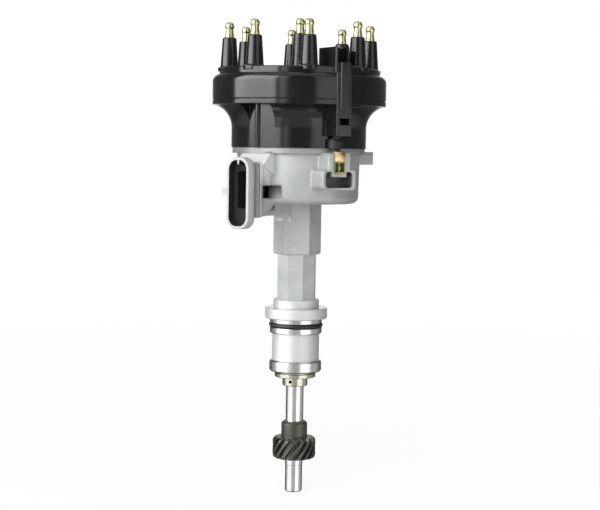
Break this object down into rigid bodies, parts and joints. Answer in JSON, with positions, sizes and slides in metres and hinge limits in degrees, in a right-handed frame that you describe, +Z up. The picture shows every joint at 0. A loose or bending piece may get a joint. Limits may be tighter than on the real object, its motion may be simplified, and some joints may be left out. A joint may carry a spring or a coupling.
{
  "type": "ignition distributor",
  "caption": "Ignition distributor: black cap with upright plug-lead towers on a cast bowl, side connector, machined pilot with O-ring, and a shaft with a helical drive gear.",
  "frame": {"origin": "centre of the hold-down flange's seating face, on the shaft axis", "axes": "+Z up along the shaft towards the cap, -Y towards the connector's mouth, +X completes a right-handed frame"},
  "size_m": [0.1306, 0.136, 0.3594],
  "materials": {
    "housing": "as-cast, satin",
    "cap": "moulded, glossy black",
    "brass": "turned, bright",
    "steel": "ground, bright",
    "zinc": "yellow zinc plated",
    "dark_steel": "phosphated, dark",
    "rubber": "black",
    "carbon": "pressed carbon, matt",
    "connector": "moulded, grey",
    "bronze": "sintered bronze",
    "rotor": "moulded, dark",
    "sensor": "potted, black",
    "magnet": "sintered magnet",
    "vane": "pressed sheet"
  },
  "bodies": {
    "housing_assembly": {"cap": "cap", "cap_screws": "dark_steel", "carbon_button": "carbon", "clip_nut_front": "zinc", "clip_nut_rear": "zinc", "coil_terminal": "brass", "connector_body": "connector", "connector_gasket": "rubber", "connector_pins": "brass", "hall_sensor": "sensor", "housing": "housing", "lower_bush": "bronze", "o_ring": "rubber", "stator_magnet": "magnet", "stator_plate": "vane", "stator_screws": "dark_steel", "terminal_1": "brass", "terminal_2": "brass", "terminal_3": "brass", "terminal_4": "brass", "terminal_5": "brass", "terminal_6": "brass", "terminal_7": "brass", "terminal_8": "brass", "upper_bush": "bronze"},
    "shaft_assembly": {"shaft": "steel", "drive_gear": "dark_steel", "gear_pin": "dark_steel", "thrust_washer": "steel", "collar": "zinc", "collar_pin": "dark_steel", "upper_washer": "steel", "vane_wheel": "vane", "retaining_ring": "steel", "rotor": "rotor", "rotor_blade": "brass", "rotor_spring": "brass"}
  },
  "joints": [
    {"name": "shaft_spin", "type": "hinge", "parent": "housing_assembly", "child": "shaft_assembly", "pos_m": [0, 0, 0], "axis": [0, 0, 1], "continuous": true}
  ]
}
